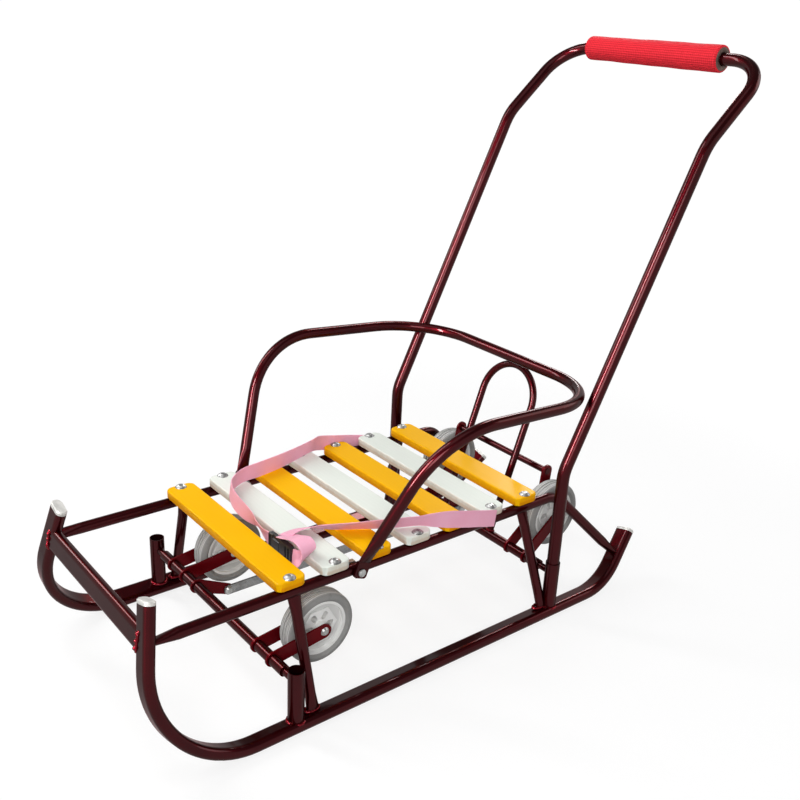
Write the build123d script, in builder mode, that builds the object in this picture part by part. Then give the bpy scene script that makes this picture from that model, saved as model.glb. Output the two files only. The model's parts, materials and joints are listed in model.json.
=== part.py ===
"""Stroller sled: steel side frames on runners, a slatted seat, a folding back hoop,
a plug-in push handle and four wheels that one lever swings down below the runners."""

import os
from math import atan2, cos, degrees, hypot, pi, radians, sin, tan

from build123d import *

# All lengths are millimetres, +Z is up, the nose points to -Y and the sled's left is +X.
# The origin is on the ground, half way between the nose and the back of the grip.
# Sizes whose names end in _y are counted from the middle of the seat.

# Side frames: each lies in one plane that leans inwards
lean = 16.35
runner_x = 188.5
runner_wide = 30.0
runner_thick = 15.0
nose_bend = 115.0
nose_bend_y = -276.0
nose_turn = 101.0
nose_straight = 73.0
tail_bend = 100.0
tail_bend_y = 298.0
tail_turn = 45.0
tail_straight = 54.0
cap_thick = 3.5
cap_crown = 1.5

# Rails, stanchions and the bar between the noses
rail_dia = 15.0
rail_height = 167.0
rail_corner_y = 264.5
rail_bend = 45.0
rail_flat_wide = 19.0
rail_flat_thick = 6.0
rail_flat_long = 38.0
tail_weld = 14.0
post_dia = 14.0
post_flat_wide = 20.0
post_flat_thick = 8.0
post_taper = 30.0
front_post_top_y = -193.0
front_post_foot_y = -191.0
rear_post_top_y = 193.0
rear_post_foot_y = 211.0
crossbar_height = 168.0
crossbar_wide = 30.0
crossbar_thick = 14.0

# Sockets for the handle, front pair open and rear pair in use
socket_dia = 21.0
socket_top = 90.0
socket_depth = 62.0
handle_dia = 18.0
handle_gap = 0.3
front_axis_y = -217.3
rear_axis_y = 222.8

# Seat slats, which end a little past the rails, and their bolts
slat_count = 7
slat_pitch = 66.0
slat_wide = 42.0
slat_end = 7.6728
slat_thick = 13.0
slat_corner = 10.0
slat_edge = 2.5
bolt_head_dia = 16.0
bolt_head_high = 4.0
bolt_dia = 6.0

# Push handle and its foam grip, with a bare length at either end of the straight top
handle_knee_rise = 144.0
handle_elbow_back = 209.8
handle_elbow_rise = 439.0
handle_top_back = 120.0
handle_top_rise = 105.0
handle_top_half = 192.0
handle_knee_bend = 55.0
handle_elbow_bend = 80.0
handle_corner_bend = 62.0
grip_dia = 38.0
grip_start = 0.5
grip_stop = 17.5
grip_gap = 0.3
grip_edge = 2.0

# Back hoop, hung on one bolt at each rail
hoop_dia = 16.0
hoop_pivot_y = -99.0
hoop_half = 211.0
hoop_back_half = 200.3
hoop_arm_back = 74.5
hoop_arm_rise = 191.8
hoop_back_rise = 172.4
hoop_past_legs = 13.7
hoop_front_bend = 113.0
hoop_back_bend = 109.0
lug_thick = 4.0
lug_wide = 20.0
lug_below = 8.0
lug_above = 14.0
lug_taper = 34.0
lug_gap = 0.4
pivot_drop = 1.0
pivot_dia = 8.0
pivot_gap = 0.05
pivot_head_dia = 10.5
pivot_head_high = 3.5
nut_wide = 13.0
nut_thick = 6.5

# Wheel gear: two tubes that turn on rods between the sockets
rod_dia = 10.0
gear_height = 72.5
gear_tube_dia = 15.0
gear_tube_room = 15.0
run_gap = 0.05
fork_middle = 116.0
plate_thick = 3.0
plate_wide = 20.0
wheel_arm = 78.0
front_arm_angle = 8.0
rear_arm_angle = 39.0
pedal_reach = 128.0
pedal_angle = 58.5
pedal_dia = 10.0
pedal_proud = 1.0
lever_dia = 11.0
lever_half = 53.2
lever_reach = 260.3
lever_lean = 18.7

# Link that makes both gear tubes turn together
crank_x = -65.0
crank_reach = 52.0
crank_angle = -24.0
crank_wide = 20.0
crank_tip_wide = 16.0
link_wide = 14.0
link_thick = 3.0
link_gap = 0.3
pin_dia = 6.0
pin_head_dia = 12.0
pin_head_high = 2.0

# Wheels
wheel_dia = 100.0
tyre_wide = 28.0
tyre_deep = 12.0
tyre_room = 2.5
tyre_shoulder = 7.0
tyre_lip = 3.5
tyre_lip_round = 1.2
rim_wall = 3.5
web_thick = 8.0
dish_wide = 7.0
spider_thick = 13.0
spider_sides = 6
hole_long = 12.0
hole_wide = 8.0
boss_dia = 17.0
axle_dia = 8.0
axle_head_dia = 12.0
axle_head_high = 2.5
groove_wide = 1.6
groove_deep = 1.4
groove_pitch = 5.0
side_gap = 0.3

# Waist strap and buckle
strap_wide = 25.0
strap_thick = 1.6
strap_gap = 0.3
strap_bend = 14.0
strap_drop = 30.0
strap_bolt_room = 4.0
buckle_x = 70.0
buckle_long = 26.0
buckle_wide = 31.0
buckle_thick = 7.0
buckle_corner = 4.0
buckle_edge = 1.0
buckle_split = 1.0
buckle_proud = 8.0
web_slot_wide = 3.4
web_bar_wide = 3.2
prong_long = 15.0
prong_wide = 5.0
prong_gap = 0.4

# Places that follow from the sizes above
lean_sin = sin(radians(lean))
lean_cos = cos(radians(lean))
lean_tan = tan(radians(lean))
runner_z = runner_thick / 2 + (runner_wide - runner_thick) / 2 * lean_sin
rail_v = (rail_height - runner_z) / lean_cos
rail_x = runner_x - (rail_height - runner_z) * lean_tan
slat_long = 2 * (rail_x + slat_end)
slat_bottom = rail_height + rail_dia / 2
slat_top = slat_bottom + slat_thick
nose_reach = nose_bend - nose_bend_y + runner_thick / 2
handle_reach = rear_axis_y + handle_elbow_back + handle_top_back + grip_dia / 2
seat_y = (nose_reach - handle_reach) / 2
buckle_y = (1 - slat_count / 2) * slat_pitch
buckle_z = slat_top + buckle_proud - buckle_wide / 2
front_y = seat_y + front_axis_y
rear_y = seat_y + rear_axis_y
gear_tube_half = runner_x - socket_dia / 2 - gear_tube_room
fork_inside = tyre_wide + 2 * tyre_room
rim_dia = wheel_dia - 2 * tyre_deep
rim_wide = tyre_wide - 2 * tyre_lip
spider_dia = rim_dia - 2 * rim_wall - 2 * dish_wide
hole_ring = (boss_dia + spider_dia * cos(pi / spider_sides)) / 2
shoulder = min(tyre_shoulder, tyre_deep - tyre_lip - tyre_lip_round)
sides = ((1, "left"), (-1, "right"))


def side_plane(side):
    """Plane of one side frame: x runs back from the seat's middle, y runs up the lean."""
    return Plane(
        origin=(side * runner_x, seat_y, runner_z),
        x_dir=(0, 1, 0),
        z_dir=(lean_cos, 0, side * lean_sin),
    )


def cross_plane(x, y, z):
    """Plane across the sled: its x runs back, its y runs up and it faces the sled's left."""
    return Plane((x, y, z), x_dir=(0, 1, 0), z_dir=(1, 0, 0))


def turned_plane(y, z):
    """Plane for profiles turned about a cross axis: x along the axis, y out from it."""
    return Plane((0, y, z), x_dir=(1, 0, 0), z_dir=(0, -1, 0))


def around(reach, angle):
    """Y and Z steps of a point at this reach and angle from a cross axis."""
    return reach * cos(radians(angle)), reach * sin(radians(angle))


def save(piece, name):
    """Name a finished piece and write it."""
    piece.part.label = name
    export_step(piece.part, f"parts/{name}.step")


os.makedirs("parts", exist_ok=True)

# Runner path in its own plane, from the nose's end to the tail's end
nose_crown = Vector(
    nose_bend_y - nose_bend * sin(radians(nose_turn)), nose_bend - nose_bend * cos(radians(nose_turn))
)
nose_way = Vector(-cos(radians(nose_turn)), sin(radians(nose_turn)))
nose_end = nose_crown + nose_way * nose_straight
tail_crown = Vector(
    tail_bend_y + tail_bend * sin(radians(tail_turn)), tail_bend - tail_bend * cos(radians(tail_turn))
)
tail_way = Vector(cos(radians(tail_turn)), sin(radians(tail_turn)))
tail_end = tail_crown + tail_way * tail_straight

# Rail path in the same plane, from the nose's middle line to the tail's middle line
rail_front = Vector(nose_crown.X + (rail_v - nose_crown.Y) * nose_way.X / nose_way.Y, rail_v)
rail_corner = Vector(rail_corner_y, rail_v)
rail_rear = tail_crown + tail_way * tail_weld
drop_way = (rail_rear - rail_corner).normalized()

runners = {}
rails = {}
for side, name in sides:
    flat = side_plane(side)
    with BuildPart() as runner:
        with BuildLine(flat) as path:
            Line((nose_end.X, nose_end.Y), (nose_crown.X, nose_crown.Y))
            RadiusArc((nose_crown.X, nose_crown.Y), (nose_bend_y, 0), -nose_bend)
            Line((nose_bend_y, 0), (tail_bend_y, 0))
            RadiusArc((tail_bend_y, 0), (tail_crown.X, tail_crown.Y), -tail_bend)
            Line((tail_crown.X, tail_crown.Y), (tail_end.X, tail_end.Y))
        with BuildSketch(Plane(path.line @ 0, x_dir=flat.z_dir, z_dir=path.line % 0)):
            SlotOverall(runner_wide, runner_thick)
        sweep()
    save(runner, f"runner_{name}")
    runners[side] = runner

    with BuildPart() as rail:
        round_front = rail_front + Vector(rail_flat_long, 0)
        round_rear = rail_rear - drop_way * rail_flat_long
        with BuildLine(flat) as path:
            FilletPolyline(
                (round_front.X, round_front.Y),
                (rail_corner.X, rail_corner.Y),
                (round_rear.X, round_rear.Y),
                radius=rail_bend,
            )
        with BuildSketch(Plane(path.line @ 0, x_dir=flat.z_dir, z_dir=path.line % 0)):
            Circle(rail_dia / 2)
        sweep()
        # Both ends are squeezed flat before they are welded on
        for start, stop in ((round_front, rail_front), (round_rear, rail_rear)):
            foot = flat.from_local_coords((start.X, start.Y, 0))
            tip = flat.from_local_coords((stop.X, stop.Y, 0))
            with BuildSketch(Plane(foot, x_dir=flat.z_dir, z_dir=tip - foot)):
                Circle(rail_dia / 2)
            with BuildSketch(Plane(tip, x_dir=flat.z_dir, z_dir=tip - foot)):
                Ellipse(rail_flat_wide / 2, rail_flat_thick / 2)
            loft()
        add(runner.part, mode=Mode.SUBTRACT)
        with BuildSketch(cross_plane(0, seat_y + hoop_pivot_y, rail_height - pivot_drop)):
            Circle(pivot_dia / 2)
        extrude(amount=side * runner_x, mode=Mode.SUBTRACT)
    save(rail, f"rail_{name}")
    rails[side] = rail

    for place, top_y, foot_y in (
        ("front", front_post_top_y, front_post_foot_y),
        ("rear", rear_post_top_y, rear_post_foot_y),
    ):
        foot = flat.from_local_coords((foot_y, 0, 0))
        top = flat.from_local_coords((top_y, rail_v, 0))
        way = (top - foot).normalized()
        reach = (top - foot).length
        with BuildPart() as post:
            with BuildSketch(Plane(foot + way * post_taper, x_dir=(0, 1, 0), z_dir=way)):
                Circle(post_dia / 2)
            extrude(amount=reach - 2 * post_taper)
            for step, toward in ((0, 1), (reach, -1)):
                with BuildSketch(Plane(foot + way * step, x_dir=(0, 1, 0), z_dir=way * toward)):
                    Ellipse(post_flat_wide / 2, post_flat_thick / 2)
                with BuildSketch(
                    Plane(foot + way * (step + toward * post_taper), x_dir=(0, 1, 0), z_dir=way * toward)
                ):
                    Circle(post_dia / 2)
                loft()
            add(runner.part, mode=Mode.SUBTRACT)
            add(rail.part, mode=Mode.SUBTRACT)
            for axis_y in (front_y, rear_y):
                with BuildSketch(Plane((side * runner_x, axis_y, 0))):
                    Circle(socket_dia / 2)
            extrude(amount=socket_top, mode=Mode.SUBTRACT)
        save(post, f"stanchion_{place}_{name}")

    for place, axis_y in (("front", front_y), ("rear", rear_y)):
        with BuildPart() as socket:
            with BuildSketch(Plane((side * runner_x, axis_y, runner_z))):
                Circle(socket_dia / 2)
            extrude(amount=socket_top - runner_z)
            with BuildSketch(Plane((side * runner_x, axis_y, socket_top))):
                Circle(handle_dia / 2 + handle_gap)
            extrude(amount=-socket_depth, mode=Mode.SUBTRACT)
            add(runner.part, mode=Mode.SUBTRACT)
        save(socket, f"socket_{place}_{name}")

# Crowned plugs that close the four tube ends
for cap_name, end, way in (("nose_caps", nose_end, nose_way), ("tail_caps", tail_end, tail_way)):
    with BuildPart() as caps:
        for side, name in sides:
            flat = side_plane(side)
            foot = flat.from_local_coords((end.X, end.Y, 0))
            out = (flat.from_local_coords((end.X + way.X, end.Y + way.Y, 0)) - foot).normalized()
            with BuildSketch(Plane(foot, x_dir=flat.z_dir, z_dir=out)):
                SlotOverall(runner_wide, runner_thick)
            extrude(amount=cap_thick)
            with BuildSketch(Plane(foot + out * cap_thick, x_dir=flat.z_dir, z_dir=out)):
                SlotOverall(runner_wide, runner_thick)
            extrude(amount=cap_crown, taper=45)
    save(caps, cap_name)

# Flat-oval bar welded between the noses
nose_bar_v = (crossbar_height - runner_z) / lean_cos
nose_bar_y = nose_crown.X + (nose_bar_v - nose_crown.Y) * nose_way.X / nose_way.Y
nose_bar_x = runner_x - (crossbar_height - runner_z) * lean_tan
with BuildPart() as crossbar:
    bar_up = Vector(0, nose_way.X, nose_way.Y * lean_cos)
    with BuildSketch(Plane((0, seat_y + nose_bar_y, crossbar_height), x_dir=bar_up, z_dir=(1, 0, 0))):
        SlotOverall(crossbar_wide, crossbar_thick)
    extrude(amount=nose_bar_x - runner_thick / 3, both=True)
    for side, name in sides:
        add(runners[side].part, mode=Mode.SUBTRACT)
        add(rails[side].part, mode=Mode.SUBTRACT)
save(crossbar, "crossbar")

# Seat slats, seated on the rails, with a dome-headed bolt over each rail
slat_places = [seat_y + (i - (slat_count - 1) / 2) * slat_pitch for i in range(slat_count)]
for i, slat_y in enumerate(slat_places):
    with BuildPart() as slat:
        with BuildSketch(Plane((0, slat_y, slat_bottom))):
            RectangleRounded(slat_long, slat_wide, slat_corner)
            with Locations((rail_x, 0), (-rail_x, 0)):
                Circle(bolt_dia / 2, mode=Mode.SUBTRACT)
        extrude(amount=slat_thick)
        for rim in slat.faces().filter_by(Axis.Z):
            fillet(rim.outer_wire().edges(), slat_edge)
    save(slat, f"slat_{i + 1}")

dome_radius = (bolt_head_dia**2 / 4 + bolt_head_high**2) / (2 * bolt_head_high)
with BuildPart() as slat_bolts:
    for side, name in sides:
        for slat_y in slat_places:
            with BuildSketch(Plane((side * rail_x, slat_y, slat_top), x_dir=(1, 0, 0), z_dir=(0, -1, 0))):
                with BuildLine():
                    Line((0, bolt_head_high), (0, -slat_thick))
                    Line((0, -slat_thick), (bolt_dia / 2, -slat_thick))
                    Line((bolt_dia / 2, -slat_thick), (bolt_dia / 2, 0))
                    Line((bolt_dia / 2, 0), (bolt_head_dia / 2, 0))
                    RadiusArc((bolt_head_dia / 2, 0), (0, bolt_head_high), -dome_radius)
                make_face()
            revolve(axis=Axis((side * rail_x, slat_y, 0), (0, 0, 1)))
save(slat_bolts, "slat_bolts")

# Push handle: one bent tube from socket floor to socket floor
socket_floor = socket_top - socket_depth
knee_z = socket_top + handle_knee_rise
elbow_y = rear_y + handle_elbow_back
top_y = elbow_y + handle_top_back
top_z = knee_z + handle_elbow_rise + handle_top_rise
half_handle = [
    (runner_x, rear_y, socket_floor),
    (runner_x, rear_y, knee_z),
    (handle_top_half, elbow_y, knee_z + handle_elbow_rise),
    (handle_top_half, top_y, top_z),
]
with BuildPart() as handle:
    with BuildLine() as path:
        other_half = [(-x, y, z) for x, y, z in reversed(half_handle)]
        bends = [handle_knee_bend, handle_elbow_bend, handle_corner_bend]
        FilletPolyline(*half_handle, *other_half, radius=bends + bends[::-1])
    with BuildSketch(Plane(path.line @ 0, z_dir=path.line % 0)):
        Circle(handle_dia / 2)
    sweep()
save(handle, "handle")

with BuildPart() as grip:
    grip_right = grip_start + handle_corner_bend - handle_top_half
    with BuildSketch(cross_plane(grip_right, top_y, top_z)):
        Circle(grip_dia / 2)
        Circle(handle_dia / 2 + grip_gap, mode=Mode.SUBTRACT)
    extrude(amount=2 * (handle_top_half - handle_corner_bend) - grip_start - grip_stop)
    fillet(grip.edges().filter_by(GeomType.CIRCLE).sort_by(SortBy.RADIUS)[-2:], grip_edge)
save(grip, "grip")

# Back hoop: a bent tube whose ends are flattened to lugs outside the rails
pivot_y = seat_y + hoop_pivot_y
pivot_z = rail_height - pivot_drop
lug_x = max(rail_x + rail_dia / 2, slat_long / 2) + lug_gap + lug_thick / 2
hoop_back_z = pivot_z + hoop_back_rise
leg_slope = handle_elbow_back / handle_elbow_rise
hoop_back_y = rear_y + (hoop_back_z - knee_z) * leg_slope + hoop_past_legs
arm_way = Vector(0, hoop_arm_back, hoop_arm_rise).normalized()
lug_top = Vector(lug_x, pivot_y, pivot_z) + arm_way * lug_above
bend_point = Vector(hoop_half, pivot_y + hoop_arm_back, pivot_z + hoop_arm_rise)
tube_way = (bend_point - lug_top).normalized()
tube_end = lug_top + tube_way * lug_taper
half_hoop = [
    (tube_end.X, tube_end.Y, tube_end.Z),
    (bend_point.X, bend_point.Y, bend_point.Z),
    (hoop_back_half, hoop_back_y, hoop_back_z),
]
with BuildPart() as hoop:
    with BuildLine() as path:
        other_half = [(-x, y, z) for x, y, z in reversed(half_hoop)]
        bends = [hoop_front_bend, hoop_back_bend]
        FilletPolyline(*half_hoop, *other_half, radius=bends + bends[::-1])
    with BuildSketch(Plane(path.line @ 0, z_dir=path.line % 0)):
        Circle(hoop_dia / 2)
    sweep()
    for side, name in sides:
        lug_plane = Plane(
            (side * lug_x - lug_thick / 2, pivot_y, pivot_z), x_dir=arm_way, z_dir=(1, 0, 0)
        )
        with BuildSketch(lug_plane):
            with Locations(((lug_above - lug_below) / 2, 0)):
                RectangleRounded(lug_above + lug_below, lug_wide, lug_thick)
            with Locations((lug_above / 2, 0)):
                Rectangle(lug_above, lug_wide)
            Circle(pivot_dia / 2 + pivot_gap, mode=Mode.SUBTRACT)
        extrude(amount=lug_thick)
        flat_end = Vector(side * lug_top.X, lug_top.Y, lug_top.Z)
        round_end = Vector(side * tube_end.X, tube_end.Y, tube_end.Z)
        with BuildSketch(Plane(flat_end, x_dir=(1, 0, 0), z_dir=arm_way)):
            Ellipse(lug_thick / 2, lug_wide / 2)
        with BuildSketch(Plane(round_end, x_dir=(1, 0, 0), z_dir=round_end - flat_end)):
            Circle(hoop_dia / 2)
        loft()
save(hoop, "back_hoop")

for side, name in sides:
    with BuildPart() as pivot:
        inside = rail_x - rail_dia / 2
        outside = lug_x + lug_thick / 2 + lug_gap
        with BuildSketch(turned_plane(pivot_y, pivot_z)):
            with BuildLine():
                Polyline(
                    (side * (inside - nut_thick), 0),
                    (side * (inside - nut_thick), pivot_dia / 2),
                    (side * outside, pivot_dia / 2),
                    (side * outside, pivot_head_dia / 2),
                    (side * (outside + pivot_head_high / 2), pivot_head_dia / 2),
                    (side * (outside + pivot_head_high), pivot_head_dia / 4),
                    (side * (outside + pivot_head_high), 0),
                    close=True,
                )
            make_face()
        revolve(axis=Axis((0, pivot_y, pivot_z), (1, 0, 0)))
        with BuildSketch(cross_plane(side * inside, pivot_y, pivot_z)):
            RegularPolygon(nut_wide / 2, 6, major_radius=False)
        extrude(amount=-side * nut_thick)
    save(pivot, f"hoop_bolt_{name}")

# Rods between the sockets, the gear tubes that turn on them, forks and wheels
inner_face = fork_middle - fork_inside / 2
outer_face = fork_middle + fork_inside / 2
crank_y, crank_z = around(crank_reach, crank_angle)
pedal_y, pedal_z = around(pedal_reach, pedal_angle)
for place, axis_y, arm_angle in (("front", front_y, front_arm_angle), ("rear", rear_y, rear_arm_angle)):
    arm_y, arm_z = around(wheel_arm, arm_angle)
    axle_y = axis_y + arm_y
    axle_z = gear_height + arm_z
    with BuildPart() as rod:
        with BuildSketch(cross_plane(0, axis_y, gear_height)):
            Circle(rod_dia / 2)
        extrude(amount=runner_x, both=True)
        for side, name in sides:
            with BuildSketch(Plane((side * runner_x, axis_y, 0))):
                Circle(socket_dia / 2)
        extrude(amount=socket_top + gear_height, mode=Mode.SUBTRACT)
    save(rod, f"{place}_rod")

    with BuildPart() as tube:
        with BuildSketch(cross_plane(-gear_tube_half, axis_y, gear_height)):
            Circle(gear_tube_dia / 2)
            Circle(rod_dia / 2 + run_gap, mode=Mode.SUBTRACT)
        extrude(amount=2 * gear_tube_half)
    save(tube, f"{place}_tube")

    for side, name in sides:
        with BuildPart() as fork:
            for face_x, step in ((inner_face, -plate_thick), (outer_face, plate_thick)):
                with BuildSketch(cross_plane(side * face_x, axis_y, gear_height)):
                    with Locations((arm_y / 2, arm_z / 2)):
                        SlotCenterToCenter(wheel_arm, plate_wide, rotation=arm_angle)
                    if place == "rear" and face_x == inner_face:
                        shank = hypot(pedal_y - arm_y, pedal_z - arm_z)
                        shank_angle = degrees(atan2(pedal_z - arm_z, pedal_y - arm_y))
                        with Locations(((arm_y + pedal_y) / 2, (arm_z + pedal_z) / 2)):
                            SlotCenterToCenter(shank, plate_wide, rotation=shank_angle)
                        with Locations((pedal_y, pedal_z)):
                            Circle(pedal_dia / 2, mode=Mode.SUBTRACT)
                    Circle(gear_tube_dia / 2, mode=Mode.SUBTRACT)
                    with Locations((arm_y, arm_z)):
                        Circle(axle_dia / 2, mode=Mode.SUBTRACT)
                extrude(amount=side * step)
        save(fork, f"{place}_fork_{name}")

    with BuildPart() as axles:
        for side, name in sides:
            low = inner_face - plate_thick
            high = outer_face + plate_thick
            with BuildSketch(turned_plane(axle_y, axle_z)):
                with BuildLine():
                    Polyline(
                        (side * (low - axle_head_high), 0),
                        (side * (low - axle_head_high), axle_head_dia / 3),
                        (side * low, axle_head_dia / 2),
                        (side * low, axle_dia / 2),
                        (side * high, axle_dia / 2),
                        (side * high, axle_head_dia / 2),
                        (side * (high + axle_head_high), axle_head_dia / 3),
                        (side * (high + axle_head_high), 0),
                        close=True,
                    )
                make_face()
            revolve(axis=Axis((0, axle_y, axle_z), (1, 0, 0)))
    save(axles, f"{place}_axles")

    with BuildPart() as crank:
        with BuildSketch(cross_plane(crank_x - plate_thick / 2, axis_y, gear_height)):
            with BuildLine():
                half_turn = Plane.XY.rotated((0, 0, crank_angle))
                Polyline(
                    half_turn.from_local_coords((0, crank_wide / 2, 0)),
                    half_turn.from_local_coords((0, -crank_wide / 2, 0)),
                    half_turn.from_local_coords((crank_reach, -crank_tip_wide / 2, 0)),
                    half_turn.from_local_coords((crank_reach, crank_tip_wide / 2, 0)),
                    close=True,
                )
            make_face()
            Circle(crank_wide / 2)
            with Locations((crank_y, crank_z)):
                Circle(crank_tip_wide / 2)
                Circle(pin_dia / 2, mode=Mode.SUBTRACT)
            Circle(gear_tube_dia / 2, mode=Mode.SUBTRACT)
        extrude(amount=plate_thick)
    save(crank, f"{place}_crank")

    with BuildPart() as pin:
        low = crank_x - plate_thick / 2
        high = crank_x + plate_thick / 2 + link_gap + link_thick + link_gap
        with BuildSketch(turned_plane(axis_y + crank_y, gear_height + crank_z)):
            with BuildLine():
                Polyline(
                    (low - pin_head_high, 0),
                    (low - pin_head_high, pin_head_dia / 3),
                    (low, pin_head_dia / 2),
                    (low, pin_dia / 2),
                    (high, pin_dia / 2),
                    (high, pin_head_dia / 2),
                    (high + pin_head_high, pin_head_dia / 3),
                    (high + pin_head_high, 0),
                    close=True,
                )
            make_face()
        revolve(axis=Axis((0, axis_y + crank_y, gear_height + crank_z), (1, 0, 0)))
    save(pin, f"{place}_link_pin")

    for side, name in sides:
        middle = cross_plane(side * fork_middle, axle_y, axle_z)
        with BuildPart() as hub:
            with BuildSketch(middle):
                Circle(rim_dia / 2)
                Circle(rim_dia / 2 - rim_wall, mode=Mode.SUBTRACT)
            extrude(amount=rim_wide / 2, both=True)
            with BuildSketch(middle):
                Circle(rim_dia / 2 - rim_wall)
            extrude(amount=web_thick / 2, both=True)
            with BuildSketch(middle):
                RegularPolygon(spider_dia / 2, spider_sides)
            extrude(amount=spider_thick / 2, both=True)
            with BuildSketch(middle):
                Circle(boss_dia / 2)
            extrude(amount=fork_inside / 2 - side_gap, both=True)
            with BuildSketch(middle):
                with PolarLocations(hole_ring / 2, spider_sides):
                    SlotOverall(hole_long, hole_wide)
                Circle(axle_dia / 2 + run_gap)
            extrude(amount=fork_inside, both=True, mode=Mode.SUBTRACT)
        save(hub, f"wheel_hub_{place}_{name}")

        with BuildPart() as tyre:
            with BuildSketch(Plane(middle.origin, x_dir=(1, 0, 0), z_dir=(0, -1, 0))):
                half = tyre_wide / 2
                with BuildLine():
                    FilletPolyline(
                        (-rim_wide / 2, rim_dia / 2),
                        (-half, rim_dia / 2 + tyre_lip),
                        (-half, wheel_dia / 2),
                        (half, wheel_dia / 2),
                        (half, rim_dia / 2 + tyre_lip),
                        (rim_wide / 2, rim_dia / 2),
                        radius=[tyre_lip_round, shoulder, shoulder, tyre_lip_round],
                    )
                    Line((rim_wide / 2, rim_dia / 2), (-rim_wide / 2, rim_dia / 2))
                make_face()
                with Locations((-groove_pitch / 2, wheel_dia / 2), (groove_pitch / 2, wheel_dia / 2)):
                    Rectangle(groove_wide, 2 * groove_deep, mode=Mode.SUBTRACT)
            revolve(axis=Axis(middle.origin, (1, 0, 0)))
        save(tyre, f"tyre_{place}_{name}")

# Foot bar between the rear forks' inner plates
with BuildPart() as foot_bar:
    with BuildSketch(cross_plane(0, rear_y + pedal_y, gear_height + pedal_z)):
        Circle(pedal_dia / 2)
    extrude(amount=inner_face + pedal_proud, both=True)
save(foot_bar, "foot_bar")

# U-shaped hand lever on the rear gear tube
lever_way = Vector(0, sin(radians(lever_lean)), cos(radians(lever_lean)))
leg_long = lever_reach - lever_half
with BuildPart() as lever:
    lever_plane = Plane((0, rear_y, gear_height), x_dir=(1, 0, 0), z_dir=(0, -lever_way.Z, lever_way.Y))
    with BuildLine(lever_plane) as path:
        Line((lever_half, 0), (lever_half, leg_long))
        RadiusArc((lever_half, leg_long), (-lever_half, leg_long), -lever_half)
        Line((-lever_half, leg_long), (-lever_half, 0))
    with BuildSketch(Plane(path.line @ 0, z_dir=path.line % 0)):
        Circle(lever_dia / 2)
    sweep()
    with BuildSketch(cross_plane(-gear_tube_half, rear_y, gear_height)):
        Circle(gear_tube_dia / 2)
    extrude(amount=2 * gear_tube_half, mode=Mode.SUBTRACT)
save(lever, "hand_lever")

# Flat link from the front crank to the rear crank
with BuildPart() as link:
    span = rear_y - front_y
    link_low = crank_x + plate_thick / 2 + link_gap
    with BuildSketch(cross_plane(link_low, front_y + crank_y, gear_height + crank_z)):
        with Locations((span / 2, 0)):
            SlotCenterToCenter(span, link_wide)
        with Locations((0, 0), (span, 0)):
            Circle(pin_dia / 2 + run_gap, mode=Mode.SUBTRACT)
    extrude(amount=link_thick)
save(link, "link_bar")

# Waist strap: each half starts beside slat 6's end, stands on edge on the slats in front of it
# and drops to the buckle in the gap between slats 1 and 2
strap_z = slat_top + strap_gap + strap_wide / 2
strap_out = slat_long / 2 + strap_gap + strap_thick / 2
strap_in = rail_x - bolt_head_dia / 2 - strap_bolt_room
buckle_half = buckle_long + buckle_split / 2
strap_routes = {
    "strap_right": [
        (-strap_out, 2 * slat_pitch, strap_z - strap_drop),
        (-strap_out, slat_pitch, strap_z - strap_drop / 2),
        (-strap_out, slat_pitch - slat_wide / 2, strap_z),
        (-strap_in, 0, strap_z),
        (-118, -50, strap_z),
        (-112, -95, strap_z),
        (-96, -136, strap_z),
        (-62, buckle_y + 4, strap_z),
        (buckle_x - buckle_half + web_bar_wide, buckle_y, buckle_z),
    ],
    "strap_left": [
        (strap_out, 2 * slat_pitch, strap_z - strap_drop),
        (strap_out, slat_pitch, strap_z - strap_drop / 2),
        (strap_out, slat_pitch - slat_wide / 2, strap_z),
        (strap_in, 0, strap_z),
        (108, -32, strap_z),
        (86, -80, strap_z),
        (104, -122, strap_z),
        (130, buckle_y - 1, strap_z + strap_thick),
        (buckle_x + buckle_half - web_bar_wide, buckle_y, buckle_z),
    ],
}
buckle_face = Plane(
    (buckle_x, seat_y + buckle_y, buckle_z), x_dir=(1, 0, 0), z_dir=(0, -1, 0)
)
for name, route in strap_routes.items():
    with BuildPart() as strap:
        with BuildLine() as path:
            FilletPolyline(*[(x, seat_y + y, z) for x, y, z in route], radius=strap_bend)
        with BuildSketch(Plane(path.line @ 0, x_dir=(1, 0, 0), z_dir=path.line % 0)):
            Rectangle(strap_thick, strap_wide)
        sweep()
        # The end is cut square where it meets the buckle
        with BuildSketch(buckle_face):
            Rectangle(2 * (buckle_half + strap_gap), 2 * buckle_wide)
        extrude(amount=buckle_wide, both=True, mode=Mode.SUBTRACT)
    save(strap, name)

# Side-release buckle on edge: a socket with open sides, and a clip whose two prongs lie in them
slot_middle = buckle_half - web_bar_wide - web_slot_wide / 2
slot_high = strap_wide + 2 * strap_gap
prong_middle = (buckle_wide - prong_wide) / 2
with BuildPart() as buckle_socket:
    with BuildSketch(buckle_face):
        with Locations((-(buckle_half + buckle_split / 2) / 2, 0)):
            RectangleRounded(buckle_long, buckle_wide, buckle_corner)
        with Locations((-slot_middle, 0)):
            RectangleRounded(web_slot_wide, slot_high, web_slot_wide / 3, mode=Mode.SUBTRACT)
        with Locations((0, prong_middle), (0, -prong_middle)):
            Rectangle(2 * (prong_long + prong_gap), prong_wide + 2 * prong_gap, mode=Mode.SUBTRACT)
    extrude(amount=buckle_thick / 2, both=True)
    for face in buckle_socket.faces().filter_by(Axis.Y).sort_by(Axis.Y)[:: len(
        buckle_socket.faces().filter_by(Axis.Y)) - 1]:
        chamfer(face.outer_wire().edges(), buckle_edge)
save(buckle_socket, "buckle_socket")

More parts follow.
